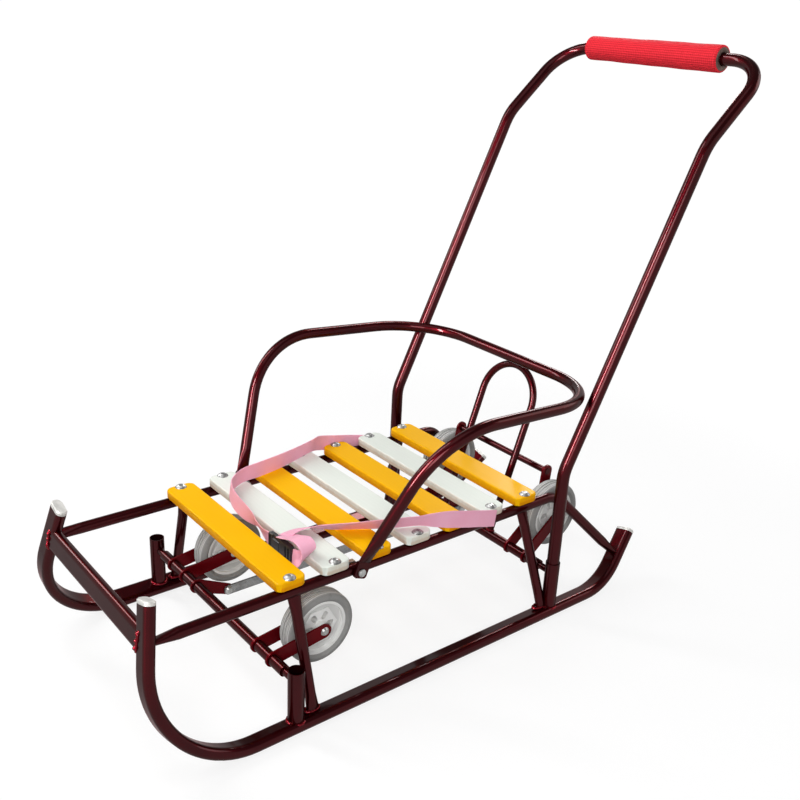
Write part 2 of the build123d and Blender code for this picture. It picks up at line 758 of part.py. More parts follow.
with BuildPart() as buckle_clip:
    with BuildSketch(buckle_face):
        with Locations(((buckle_half + buckle_split / 2) / 2, 0)):
            RectangleRounded(buckle_long, buckle_wide, buckle_corner)
        with Locations((slot_middle, 0), (slot_middle - web_slot_wide - web_bar_wide, 0)):
            RectangleRounded(web_slot_wide, slot_high, web_slot_wide / 3, mode=Mode.SUBTRACT)
    extrude(amount=buckle_thick / 2, both=True)
    for place in (prong_middle, -prong_middle):
        with BuildSketch(buckle_face):
            with Locations(((buckle_corner - prong_long) / 2 + buckle_split / 2, place)):
                Rectangle(prong_long + buckle_corner, prong_wide)
        extrude(amount=buckle_thick / 3, both=True)
save(buckle_clip, "buckle_clip")
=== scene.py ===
"""Looks of the stroller sled: paint, wood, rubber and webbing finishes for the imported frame,
the waist strap, the foam grip and the weld beads as worked-out surfaces, and a pale studio around them.

Lengths are in metres, apart from the strap's stops."""

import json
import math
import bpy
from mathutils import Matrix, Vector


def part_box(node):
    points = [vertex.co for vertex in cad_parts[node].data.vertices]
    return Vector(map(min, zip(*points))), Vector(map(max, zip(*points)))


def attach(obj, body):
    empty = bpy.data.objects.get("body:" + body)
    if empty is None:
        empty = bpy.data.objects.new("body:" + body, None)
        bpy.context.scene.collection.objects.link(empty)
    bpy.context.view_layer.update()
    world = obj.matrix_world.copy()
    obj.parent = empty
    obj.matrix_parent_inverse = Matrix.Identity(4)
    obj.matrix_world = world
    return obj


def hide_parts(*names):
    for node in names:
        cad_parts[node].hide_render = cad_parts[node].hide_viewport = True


bl_info = {
    "name": "Stroller sled looks",
    "version": (1, 0, 0),
    "blender": (4, 5, 0),
    "location": "View3D > Sidebar > Sled",
    "description": "Dresses the stroller sled's frame and sets its studio",
    "category": "Object",
}

import bpy
import numpy as np
from bpy.props import FloatProperty, FloatVectorProperty, PointerProperty
from mathutils import Matrix, Vector

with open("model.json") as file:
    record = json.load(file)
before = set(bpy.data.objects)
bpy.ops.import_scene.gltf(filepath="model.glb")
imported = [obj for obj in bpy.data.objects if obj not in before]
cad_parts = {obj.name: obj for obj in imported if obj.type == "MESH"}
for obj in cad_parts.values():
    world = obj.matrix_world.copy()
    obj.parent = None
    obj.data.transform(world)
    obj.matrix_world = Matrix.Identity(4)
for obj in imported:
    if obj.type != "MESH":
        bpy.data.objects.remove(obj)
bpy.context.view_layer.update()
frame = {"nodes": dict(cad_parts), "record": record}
SIDES = (("left", 1.0), ("right", -1.0))
PLACES = ("front", "rear")
SLAT_COUNT = 7
SEAT_Y = float(sum(corner[1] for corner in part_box("slat_4"))) / 2
FULL_TURN = 2 * math.pi

# Where patterns start and stop, as pairs of distances
SLAT_EDGE = (0.0022, 0.0004)  # in from the slat's sides and ends
SLAT_LOW = (0.0, 0.006)  # down from SLAT_LOW_FROM above the slat's middle, where the painted shade on the slats' sides grows
TYRE_SHOULDER = (0.0046, 0.0026)  # in from the tyre's sides
HUB_RIM = (0.0335, 0.0355)  # out from the axle
HUB_DISH = (0.0045, 0.0064)  # sideways from the wheel's middle
HEAD_PIT = (0.0024, 0.0032)  # out from a bolt's axis, as the next three
HEAD_LIP_RISE = (0.0032, 0.0036)
HEAD_LIP_FALL = (0.0036, 0.0046)
HEAD_RIM = (0.0062, 0.0078)
SLAT_LOW_FROM = 0.002
BOLT_HEAD_RADIUS = 0.008

# Weld beads
BEAD_RIPPLE = 0.0042
BEAD_LEAST_RIPPLES = 6
BEAD_SEED_STEP = 1.7
SOCKET_FOOT_HEIGHT = 0.0168
SOCKET_BEAD = 0.0108
POST_FOOT_DEEP = 0.009
POST_BEAD_RISE = 0.0036
POST_BEAD = (0.0098, 0.0046)
CROSSBAR_LEAN = (0.0, 0.19, 0.94)
CROSSBAR_INSET = 0.001
CROSSBAR_BEAD = 0.0072
CROSSBAR_STRAIGHT = 0.016
BLOB_RISES = (-0.0085, 0.0, 0.0085)
BLOB_SHIFT = (0.0012, 0.0068, 0.0012)
BLOB_BEAD = (0.0016, 0.0012)
LEVER_LEAN = math.radians(18.7)
LEVER_RADIUS = 0.0055
LEVER_BEAD = 0.0056
LEVER_BEAD_RISE = 0.0072
LEVER_BEAD_SHARE = 0.7

# Foam sleeve
SLEEVE_BORE = 0.0093
SLEEVE_LIP = 0.003

# Strap: each stop is x, y from the seat's middle, z, all in millimetres, then the width's direction
STRAP_SLANT = 0.0035
FAR_STOPS = (
    (-151.6, 134, 171.5, 0, 0.05, 1), (-151.6, 100, 180, 0, 0, 1),
    (-151.6, 72, 186, 0, 0, 1), (-151, 50, 191.5, 0.1, 0, 1),
    (-146, 33, 196.5, 0.2, 0, 1), (-137, 16, 199.6, 0.28, 0.05, 0.95),
    (-127, -12, 200, 0.25, 0, 0.97), (-116, -50, 200.4, 0.15, 0, 1),
    (-108, -90, 200.8, 0.1, 0, 1), (-103, -122, 200.8, 0.15, 0, 1),
    (-84, -150, 200.8, 0.1, 0.1, 1), (-60, -163, 200.8, 0, 0.1, 1),
    (-34, -169.5, 200.6, 0, 0.1, 1), (-10, -171.5, 200, 0.05, 0, 1),
    (7, -170.3, 198, 0.35, -0.2, 0.9), (19, -168.5, 193, 0.7, -0.4, 0.6),
    (31, -166.5, 185, 0.55, -0.3, 0.78), (46, -165, 180.4, 0.1, 0, 1),
)
NEAR_STOPS = (
    (151.5, 133.5, 172, 0, 0.05, 1), (151.5, 112, 178, 0, 0.02, 1),
    (151.6, 75, 188.3, 0, 0, 1), (150.6, 44, 197, 0.05, 0, 1),
    (145, 23, 200, 0.25, -0.15, 0.95), (136.6, 7.5, 199.6, 0.45, -0.26, 0.86),
    (124.8, -19.5, 199.4, 0.46, -0.27, 0.85), (111.8, -46, 199, 0.5, -0.29, 0.82),
    (99.5, -67.5, 198, 0.56, -0.33, 0.76), (86.4, -89, 197, 0.6, -0.35, 0.72),
    (74, -107, 196.4, 0.66, -0.4, 0.63), (66, -122, 196.2, 0.76, -0.42, 0.48),
    (63, -136, 196.2, 0.84, -0.35, 0.4), (64.5, -147, 196.6, 0.9, -0.2, 0.36),
    (68, -157, 197.4, 0.94, 0, 0.34),
)
LOOP_STOPS = (
    (66, -158, 196.4, 0.05, -0.99, 0.1), (80, -157.5, 200.6, 0.03, -0.99, 0.1),
    (94, -157.5, 206, 0, -1, 0.08), (107, -157.5, 209.2, 0.05, -1, 0),
    (117.6, -157.5, 206.6, 0.1, -1, 0), (122, -158, 200, 0.23, -0.97, 0),
    (118.5, -159.5, 190.8, 0.35, -0.9, -0.15), (111, -163.5, 184.3, 0.3, -0.75, -0.55),
    (102, -164.8, 181.2, 0.1, -0.35, -0.93), (94, -165, 180.4, 0, 0, -1),
)

# Studio: the camera's angles are its turn round the sled, its rise and its roll, in degrees
CAMERA_ANGLES = (50.79, 21.92, 2.83)
CAMERA_FROM_SEAT = (1.01375, -0.75186, 0.83658)
SENSOR_WIDTH_MM = 36.0
PAPER_MIDDLE, PAPER_REACH, PAPER_BEND, PAPER_HIGH = 0.25, 11.0, 2.0, 8.0
PAPER_FADE = (0.7, 1.8)
PAPER_NEAR_WHITE, PAPER_FAR_WHITE = (1.35, 1.35, 1.35), (1.02, 1.02, 1.02)


def colour(name, description, default):
    """A colour setting in linear red, green and blue."""
    return FloatVectorProperty(
        name=name, description=description, subtype="COLOR", size=3, min=0.0, max=1.0, default=default
    )


def length(name, description, default):
    """A length setting in metres."""
    return FloatProperty(
        name=name, description=description, subtype="DISTANCE", unit="LENGTH", min=0.0,
        precision=4, default=default,
    )


def share(name, description, default):
    """A setting from nought to one."""
    return FloatProperty(
        name=name, description=description, subtype="FACTOR", min=0.0, max=1.0, default=default
    )


def watts(name, description, default):
    """A lamp's power setting in watts."""
    return FloatProperty(name=name, description=description, unit="POWER", min=0.0, default=default)


# ---------------------------------------------------------------- settings


class FrameFinish(bpy.types.PropertyGroup):
    """Paint, plugs and plating of the steel frame."""

    paint: colour("Paint", "Dark red of the frame's paint where it is lit", (0.066, 0.0011, 0.0037))
    paint_deep: colour("Deep paint", "The same paint where it lies thick", (0.02, 0.0004, 0.0012))
    paint_roughness: share("Paint roughness", "Roughness of the paint under its lacquer", 0.27)
    # Painted light: the forks and cranks wear the frame's own paint; this brighter red paints in the light
    # that falls on their flat faces.
    plate: colour("Plate paint", "Brighter red of the flat forks and cranks", (0.17, 0.0004, 0.004))
    # Painted highlight: the beads carry the frame's paint, and this brighter red paints in the light that
    # their lumps catch.
    bead: colour("Weld bead", "Paint on the raised weld beads", (0.24, 0.005, 0.014))
    bead_radius: length("Bead radius", "Radius of a weld bead's section", 0.0023)
    plug: colour("Tube plug", "Silver-white plugs in the tube ends", (0.6, 0.59, 0.56))
    zinc: colour("Zinc", "Zinc plating of bolts and rivets", (0.42, 0.42, 0.41))
    link: colour("Link", "Dull zinc of the link between the gears", (0.26, 0.26, 0.26))


class SeatFinish(bpy.types.PropertyGroup):
    """Lacquer on the wooden slats."""

    yellow: colour("Yellow", "Yellow slats", (0.98, 0.5, 0.001))
    # Painted shade: the two edge colours darken the slats' edges and sides, most on the sides' lower part,
    # made uneven by scuffs.
    yellow_wear_and_shade: colour("Yellow edge", "Yellow where the lacquer runs thin on edges", (0.74, 0.24, 0.001))
    white: colour("White", "White slats", (0.83, 0.87, 0.8))
    white_wear_and_shade: colour("White edge", "Cream tone on the white slats' cut edges", (0.63, 0.5, 0.38))
    grain: length("Grain", "Distance between the rings that show through the lacquer", 0.006)


class WheelFinish(bpy.types.PropertyGroup):
    """Rubber and hub plastic of the four wheels."""

    rubber: colour("Rubber", "Grey of the tyres' treads", (0.66, 0.66, 0.645))
    # Painted shade: this darker grey goes into the tread's grooves and over the tyre's sides; dust adds a
    # little of it too.
    rubber_shade_and_dust: colour("Dark rubber", "Darker grey in the grooves and on the sides", (0.17, 0.167, 0.16))
    hub: colour("Hub", "Light grey of the hubs", (0.88, 0.88, 0.86))
    groove: length("Groove", "Distance between the tread's fine grooves", 0.0027)


class StrapFinish(bpy.types.PropertyGroup):
    """Waist strap and buckle."""

    width: length("Width", "Width of the webbing", 0.025)
    thickness: length("Thickness", "Thickness of the webbing", 0.0013)
    pink: colour("Pink", "Webbing colour", (0.97, 0.35, 0.5))
    # Painted sheen: this lighter pink goes on the raised threads and creases where light catches the
    # webbing.
    pink_painted_sheen: colour("Pink sheen", "Webbing colour along its raised threads", (1.0, 0.58, 0.74))
    thread: length("Thread", "Distance between the webbing's ribs", 0.0011)
    buckle: colour("Buckle", "Black plastic of the buckle", (0.012, 0.012, 0.013))


class GripFinish(bpy.types.PropertyGroup):
    """Foam sleeve on the push handle."""

    red: colour("Red", "Red of the foam's skin", (1.0, 0.034, 0.056))
    # Painted shade: this deeper red goes in the hollows between the foam's ribs.
    red_painted_shade: colour("Deep red", "Red between the foam's ribs", (0.5, 0.004, 0.011))
    core: colour("Core", "Bare foam at the cut end", (0.2, 0.14, 0.12))
    swell: length("Swell", "How far the foam swells and shrinks along its length", 0.00022)
    reach: length("Reach", "How far the soft sleeve is pushed on to the bend", 0.008)
    knit: length("Knit", "Distance between the ribs of the foam's skin", 0.0034)


class StudioSettings(bpy.types.PropertyGroup):
    """Floor, lamps and camera."""

    floor: colour("Floor", "Pale floor", (0.5, 0.5, 0.5))
    sky: FloatProperty(
        name="Sky", description="Strength of the soft light from all round", min=0.0, default=0.25
    )
    key: watts("Key", "Power of the tall lamp at the left", 32.0)
    top: watts("Top", "Power of the wide lamp above", 7.0)
    fill: watts("Fill", "Power of the wide lamp in front", 42.0)
    line: watts("Lines", "Power of the lamps seen in gloss", 150.0)
    lens: FloatProperty(name="Lens", description="Focal length in millimetres", min=1.0, default=44.75)


class SledSettings(bpy.types.PropertyGroup):
    """All settings of the sled's looks."""

    frame: PointerProperty(type=FrameFinish, name="Frame", description="Steel frame")
    seat: PointerProperty(type=SeatFinish, name="Seat", description="Slatted seat")
    wheels: PointerProperty(type=WheelFinish, name="Wheels", description="Wheels")
    strap: PointerProperty(type=StrapFinish, name="Strap", description="Waist strap")
    grip: PointerProperty(type=GripFinish, name="Grip", description="Handle grip")
    studio: PointerProperty(type=StudioSettings, name="Studio", description="Studio")


def settings():
    """The scene's settings of the sled."""
    return bpy.context.scene.sled_looks


# ---------------------------------------------------------------- shader maths


class Num:
    """A number socket; each operator on it adds one Math node and gives a new number socket."""

    def __init__(self, finish, socket):
        self.finish = finish
        self.socket = socket

    def _sum(self, operation, *values, clamp=False):
        choices = {"operation": operation, "use_clamp": clamp}
        made = self.finish.node("ShaderNodeMath", choices, dict(enumerate(values)))
        return Num(self.finish, made.outputs[0])

    def __add__(self, other):
        return self._sum("ADD", self, other)

    __radd__ = __add__

    def __sub__(self, other):
        return self._sum("SUBTRACT", self, other)

    def __rsub__(self, other):
        return self._sum("SUBTRACT", other, self)

    def __mul__(self, other):
        return self._sum("MULTIPLY", self, other)

    __rmul__ = __mul__

    def __truediv__(self, other):
        return self._sum("DIVIDE", self, other)

    def __abs__(self):
        return self._sum("ABSOLUTE", self)

    def sine(self):
        return self._sum("SINE", self)

    def root(self):
        return self._sum("SQRT", self)

    def fract(self):
        return self._sum("FRACT", self)

    def clamp(self):
        return self._sum("ADD", self, 0.0, clamp=True)

    def wave(self):
        """The sine, moved and halved so that it runs from nought to one."""
        return self.sine() * 0.5 + 0.5

    def ease(self, low, high):
        """Nought at low, one at high and a smooth rise between."""
        made = self.finish.node(
            "ShaderNodeMapRange",
            {"interpolation_type": "SMOOTHSTEP"},
            {"Value": self, "From Min": low, "From Max": high},
        )
        return Num(self.finish, made.outputs["Result"])


class Finish:
    """One material: its nodes, its shader and the coordinates that its patterns read."""

    def __init__(self, name):
        self.material = bpy.data.materials.new(name)
        self.material.use_nodes = True
        self.tree = self.material.node_tree
        self.tree.nodes.clear()
        self.shader = self.node("ShaderNodeBsdfPrincipled")
        self.output = self.node("ShaderNodeOutputMaterial", {}, {"Surface": self.shader.outputs[0]})

    def node(self, kind, choices=None, inputs=None):
        """Add a node: its choices are set first, then its sockets get values or links."""
        made = self.tree.nodes.new(kind)
        for name, value in (choices or {}).items():
            setattr(made, name, value)
        for name, value in (inputs or {}).items():
            self.put(made.inputs[name], value)
        return made

    def put(self, socket, value):
        """Link a socket to another or set its value."""
        if isinstance(value, Num):
            value = value.socket
        if isinstance(value, bpy.types.NodeSocket):
            self.tree.links.new(value, socket)
        elif socket.type == "RGBA":
            socket.default_value = (*value, 1.0)
        else:
            socket.default_value = value

    def look(self, **values):
        """Set or link the shader's sockets by name, with _ for a space."""
        for name, value in values.items():
            words = name.replace("_", " ").title().replace("Ior", "IOR")
            self.put(self.shader.inputs[words], value)
        return self.material

    def place(self, centre=(0.0, 0.0, 0.0), scale=(1.0, 1.0, 1.0)):
        """Object coordinates counted from a centre and scaled."""
        here = self.node("ShaderNodeTexCoord").outputs["Object"]
        made = self.node(
            "ShaderNodeMapping",
            {"vector_type": "TEXTURE"},
            {"Vector": here, "Location": centre, "Scale": tuple(1.0 / s for s in scale)},
        )
        return made.outputs[0]

    def own_map(self, name):
        """The two numbers of a piece's own map."""
        first, second, _ = self.axes(self.node("ShaderNodeUVMap", {"uv_map": name}).outputs[0])
        return first, second

    def axes(self, vector):
        """The three numbers of a vector."""
        made = self.node("ShaderNodeSeparateXYZ", {}, {0: vector})
        return [Num(self, out) for out in made.outputs]

    def noise(self, vector, scale, detail=3.0, roughness=0.5):
        """Fractal noise from nought to one."""
        made = self.node(
            "ShaderNodeTexNoise",
            {},
            {"Vector": vector, "Scale": scale, "Detail": detail, "Roughness": roughness},
        )
        return Num(self, made.outputs[0])

    def cells(self, vector, scale):
        """Distance to the nearest of many scattered points."""
        made = self.node("ShaderNodeTexVoronoi", {}, {"Vector": vector, "Scale": scale})
        return Num(self, made.outputs["Distance"])

    def mix(self, factor, first, second):
        """Colour between two by a number."""
        made = self.node("ShaderNodeMix", {"data_type": "RGBA"}, {0: factor, 6: first, 7: second})
        return made.outputs[2]

    def bump(self, height, distance, strength):
        """Bend the normal by a height that is counted in units of distance, in metres."""
        made = self.node(
            "ShaderNodeBump", {}, {"Height": height, "Distance": distance, "Strength": strength}
        )
        self.put(self.shader.inputs["Normal"], made.outputs[0])


def darker(tone, part):
    """A colour with each of its numbers cut to a part."""
    return tuple(c * part for c in tone)


def dress(nodes, material):
    """Give CAD nodes a material."""
    for name in nodes:
        mesh = frame["nodes"][name].data
        mesh.materials.clear()
        mesh.materials.append(material)


# ---------------------------------------------------------------- finishes


def sled_paint(name, lit, deep, metallic=0.85, coat=0.24):
    """Dark red flake paint under lacquer: slow cloudiness, fine flake and a little orange peel."""
    own = settings().frame
    made = Finish(name)
    at = made.place()
    cloud = made.noise(at, 14.0, 2.0)
    flake = made.cells(at, 2600.0)
    depth = (cloud * 0.8 + flake * 0.4).clamp()
    peel = made.noise(at, 420.0, 2.0)
    dust = made.noise(at, 60.0, 6.0, 0.7).ease(0.56, 0.75)
    made.bump(peel, 0.00004, 0.15)
    return made.look(
        base_color=made.mix(depth, tuple(lit), tuple(deep)),
        roughness=own.paint_roughness + dust * 0.12 + cloud * 0.06,
        metallic=metallic,
        coat_weight=coat,
        coat_roughness=0.09,
        specular_tint=(0.4, 0.06, 0.08),
        specular_ior_level=0.1,
    )


def slat_lacquer(name, body, edge, centre, half):
    """Lacquered wood: grain along X as faint ridges, painted shade on edges and sides, most low down, and
    small specks.
    """
    own = settings().seat
    made = Finish(name)
    at = made.place(centre)
    x, y, z = made.axes(at)
    drift = made.noise(made.place(centre, (3.0, 30.0, 30.0)), 1.0, 3.0)
    rings = ((y + drift * 0.012) * (FULL_TURN / own.grain)).wave()
    pores = made.noise(made.place(centre, (30.0, 900.0, 900.0)), 1.0, 2.0)
    specks = made.cells(at, 90.0)
    ends, sides = (
        abs(way).ease(*(far - inset for inset in SLAT_EDGE)) for way, far in ((x, half[0]), (y, half[1]))
    )
    side = (sides + ends).clamp()
    # Painted shade: the edge colour covers the slats' edges and sides and grows towards the lower part of
    # the sides; scuffs make it uneven.
    low = (SLAT_LOW_FROM - z).ease(*SLAT_LOW)
    scuff = made.noise(at, 120.0, 4.0, 0.65)
    edge_wear_and_shade = (scuff * 0.35 + side * (0.5 + low * 0.4)).ease(0.45, 0.95)
    tone = made.mix(rings * 0.1 + pores * 0.1, tuple(body), darker(body, 0.86))
    tone = made.mix(edge_wear_and_shade * 0.8, tone, tuple(edge))
    made.bump(rings * 0.35 + pores * 0.4 + made.noise(at, 45.0, 2.0) * 1.2, 0.00025, 0.4)
    return made.look(
        base_color=made.mix(specks.ease(0.05, 0.02) * 0.25, tone, darker(body, 0.7)),
        roughness=0.3 + pores * 0.12 + edge_wear_and_shade * 0.2,
        coat_weight=0.02,
        coat_roughness=0.1,
        specular_ior_level=0.03,
    )


def tube_plug(name):
    """Silver-white plug: cast surface with fine grain."""
    made = Finish(name)
    at = made.place()
    grain = made.noise(at, 700.0, 3.0)
    stain = made.noise(at, 90.0, 4.0)
    made.bump(grain, 0.0001, 0.4)
    tone = tuple(settings().frame.plug)
    return made.look(
        base_color=made.mix(stain.ease(0.4, 0.75), tone, darker(tone, 0.72)),
        metallic=0.35,
        roughness=0.38 + grain * 0.15,
    )


def zinc_plate(name, tone, heads=None):
    """Zinc plating: bright metal with cloudy patches, brushed lines and a dull film.

    Heads give the first bolt's place, the rows' distance from the middle and their pitch: each head
    then has a sunken pit in its middle with painted shade in it, a raised lip of bright zinc round the pit
    and painted shade on its outer rim, counted from its axis."""
    made = Finish(name)
    at = made.place()
    patch = made.noise(at, 160.0, 4.0, 0.6)
    lines = made.noise(made.place(scale=(400.0, 60.0, 400.0)), 1.0, 2.0)
    film = (patch * 0.7 + lines * 0.3).ease(0.35, 0.7)
    height = lines * 0.2 + patch * 0.2
    dark = film * 0.45
    if heads:
        first, out, pitch = heads
        x, y, _ = made.axes(made.place((0.0, first, 0.0)))
        row, along = abs(x) - out, ((y / pitch + 0.5).fract() - 0.5) * pitch
        reach = (row * row + along * along).root()
        pit, rim = 1 - reach.ease(*HEAD_PIT), reach.ease(*HEAD_RIM)
        lip = reach.ease(*HEAD_LIP_RISE) * (1 - reach.ease(*HEAD_LIP_FALL))
        height = height - pit * 2.0 + lip
        # Painted shade: the pit in the head's middle and the head's outer rim are darkened.
        dark = (dark + pit * 0.35 + rim * 0.5).clamp()
    made.bump(height, 0.0003, 0.5)
    return made.look(
        base_color=made.mix(dark, tuple(tone), darker(tone, 0.18)),
        metallic=0.9,
        roughness=0.26 + film * 0.22,
    )


def tyre_rubber(name, centre, half):
    """Grey rubber: fine grooves round the tread with painted shade in them, painted shade on the smooth
    sides, and dusty wear.
    """
    own = settings().wheels
    made = Finish(name)
    at = made.place(centre)
    x, _, _ = made.axes(at)
    side = abs(x).ease(*(half - inset for inset in TYRE_SHOULDER))
    grooves = (x * (FULL_TURN / own.groove)).wave()
    dust = made.noise(at, 70.0, 5.0, 0.65)
    shade = (1 - grooves).ease(0.6, 0.95) * (1 - side)
    # Painted shade in the grooves and on the sides, plus a little real dust.
    deep = (shade * 0.6 + dust.ease(0.5, 0.8) * 0.12 + side * 0.75).clamp()
    made.bump(grooves * (1 - side) + made.noise(at, 900.0, 2.0) * 0.25, 0.0006, 0.8)
    return made.look(
        base_color=made.mix(deep, tuple(own.rubber), tuple(own.rubber_shade_and_dust)),
        roughness=0.62 + dust * 0.25,
        specular_ior_level=0.15,
    )


def hub_plastic(name, centre):
    """Moulded grey plastic: faint flow marks, dust, and painted shade in the dish between the axle and the
    rim.
    """
    own = settings().wheels
    made = Finish(name)
    at = made.place(centre)
    x, y, z = made.axes(at)
    reach = (y * y + z * z).root()
    flow = made.noise(at, 55.0, 3.0)
    rim = reach.ease(*HUB_RIM)
    dish = (1 - rim) * (1 - abs(x).ease(*HUB_DISH))
    # Painted shade: the dish between the axle and the rim is darkened, on top of random dust.
    dust = (made.noise(at, 140.0, 5.0, 0.7) * 0.5 + dish * 0.6).ease(0.36, 0.8)
    made.bump(flow * 0.6 + made.noise(at, 1200.0, 2.0) * 0.4, 0.00012, 0.4)
    return made.look(
        base_color=made.mix(dust * 0.5, tuple(own.hub), darker(own.hub, 0.55)),
        roughness=0.4 + flow * 0.12 + dust * 0.15,
        specular_ior_level=0.2,
    )


def strap_webbing(name):
    """Pink webbing: ribs across its length and a finer twill, read from the strap's map in metres."""
    own = settings().strap
    made = Finish(name)
    across, along = made.own_map("weave")
    step = FULL_TURN / own.thread
    ribs = (along * step).wave()
    warp = (across * step * 1.3).wave()
    twill = ((across + along) * step * 0.5).wave()
    weave = ribs * 0.55 + warp * 0.3 + twill * 0.15
    selvedge = abs(across / own.width - 0.5).ease(0.42, 0.46)
    crease = made.noise(made.place(), 35.0, 3.0)
    # Painted sheen: raised threads and creases get the lighter pink.
    sheen = (weave * 0.7 + crease * 0.4).clamp()
    made.bump(weave * (1 - selvedge * 0.4) + crease * 1.2 + selvedge * 0.5, 0.00035, 0.7)
    return made.look(
        base_color=made.mix(sheen, tuple(own.pink), tuple(own.pink_painted_sheen)),
        roughness=0.5 + weave * 0.12,
        sheen_weight=0.05,
        sheen_roughness=0.35,
        sheen_tint=(1.0, 0.75, 0.82),
        specular_ior_level=0.15,
    )


def buckle_plastic(name):
    """Black moulded plastic with fine spark texture and scuffs."""
    made = Finish(name)
    spark = made.noise(made.place(), 1800.0, 2.0)
    scuff = made.noise(made.place(scale=(300.0, 60.0, 300.0)), 1.0, 4.0).ease(0.62, 0.72)
    made.bump(spark, 0.00012, 0.5)
    return made.look(
        base_color=made.mix(scuff * 0.5, tuple(settings().strap.buckle), (0.06, 0.06, 0.062)),
        roughness=0.34 + spark * 0.15,
        specular_ior_level=0.5,
    )


def grip_foam(name):
    """Red foam skin with fine knit ribs; the cut end shows the bare foam."""
    own = settings().grip
    made = Finish(name)
    around, along = made.own_map("skin")
    step = FULL_TURN / own.knit
    at = made.place()
    wander = made.noise(at, 220.0, 3.0)
    ribs = (around * step + wander * 2.0).wave()
    loops = (along * step + wander * 4.0).wave()
    knit = ribs * 0.55 + loops * 0.3 + wander * 0.3
    pits = made.cells(at, 700.0)
    cut = Num(made, made.node("ShaderNodeAttribute", {"attribute_name": "cut"}).outputs["Fac"])
    # Painted shade: the hollows between the knit's ribs are darker red.
    skin = made.mix(knit.clamp(), tuple(own.red_painted_shade), tuple(own.red))
    # Painted shade: the sunken pores of the bare foam are darker.
    foam = made.mix(pits.ease(0.1, 0.5), darker(own.core, 0.45), tuple(own.core))
    lumps = made.noise(at, 40.0, 2.0)
    made.bump(knit * (1 - cut) + pits * cut * 1.5 + lumps * 0.8, 0.0006, 0.8)
    return made.look(
        base_color=made.mix(cut, skin, foam),
        roughness=0.72 + wander * 0.15,
        specular_ior_level=0.1,
    )


# ---------------------------------------------------------------- surfaces


def round_turn(count):
    """Angles spread evenly round one turn."""
    return np.linspace(0, 2 * np.pi, count + 1)[:-1]


def grid_faces(rows, columns, closed_rows=False):
    """Quads between neighbouring points of a grid whose rows are rings, joined end to end if asked."""
    down = np.arange(rows if closed_rows else rows - 1)
    i, j = np.meshgrid(down, np.arange(columns), indexing="ij")
    i2, j2 = (i + 1) % rows, (j + 1) % columns
    corners = [i * columns + j, i * columns + j2, i2 * columns + j2, i2 * columns + j]
    return np.stack(corners, axis=-1).reshape(-1, 4)


def end_faces(rows, columns):
    """Fans that close the first and last row of a tube whose end centres are the two last points."""
    j = np.arange(columns)
    j2 = (j + 1) % columns
    first = np.full(columns, rows * columns)
    last = first + 1
    start = np.stack([first, j2, j], axis=-1)
    stop = np.stack([last, (rows - 1) * columns + j, (rows - 1) * columns + j2], axis=-1)
    return np.concatenate([start, stop])


def mesh_piece(name, points, faces, material):
    """A smooth-shaded object at the origin from an array of points and arrays of faces."""
    mesh = bpy.data.meshes.new(name)
    mesh.from_pydata(points.tolist(), [], [list(f) for part in faces for f in part.tolist()])
    mesh.polygons.foreach_set("use_smooth", np.full(len(mesh.polygons), True))
    mesh.materials.append(material)
    mesh.update()
    piece = bpy.data.objects.new(name, mesh)
    bpy.context.scene.collection.objects.link(piece)
    return piece


def map_corners(piece, name, values):
    """Write a map of the piece's points to its face corners."""
    mesh = piece.data
    corner = np.zeros(len(mesh.loops), np.int32)
    mesh.loops.foreach_get("vertex_index", corner)
    layer = mesh.uv_layers.new(name=name)
    layer.data.foreach_set("uv", values[corner].astype(np.float32).ravel())


def smooth_way(points, steps):
    """A smooth line through every given row: between two rows, a cubic of their values
    and of both neighbours'."""
    rows = np.asarray(points, float)
    ends = np.vstack([2 * rows[0] - rows[1], rows, 2 * rows[-1] - rows[-2]])
    t = np.linspace(0, len(rows) - 1, steps)
    k = np.minimum(t.astype(int), len(rows) - 2)
    f = (t - k)[:, None]
    a, b, c, d = ends[k], ends[k + 1], ends[k + 2], ends[k + 3]
    square, cube = 2 * a - 5 * b + 4 * c - d, 3 * b - a - 3 * c + d
    return 0.5 * (2 * b + (c - a) * f + square * f**2 + cube * f**3)


def unit(rows):
    """Rows scaled to length one."""
    return rows / np.maximum(np.linalg.norm(rows, axis=-1, keepdims=True), 1e-12)


def even_way(rows, steps):
    """The same line, with its length, and its rows spread evenly along its first three columns."""
    gaps = np.linalg.norm(np.diff(rows[:, :3], axis=0), axis=1)
    gone = np.concatenate([[0.0], np.cumsum(gaps)])
    want = np.linspace(0.0, gone[-1], steps)
    even = [np.interp(want, gone, rows[:, i]) for i in range(rows.shape[1])]
    return np.stack(even, axis=1), gone[-1]


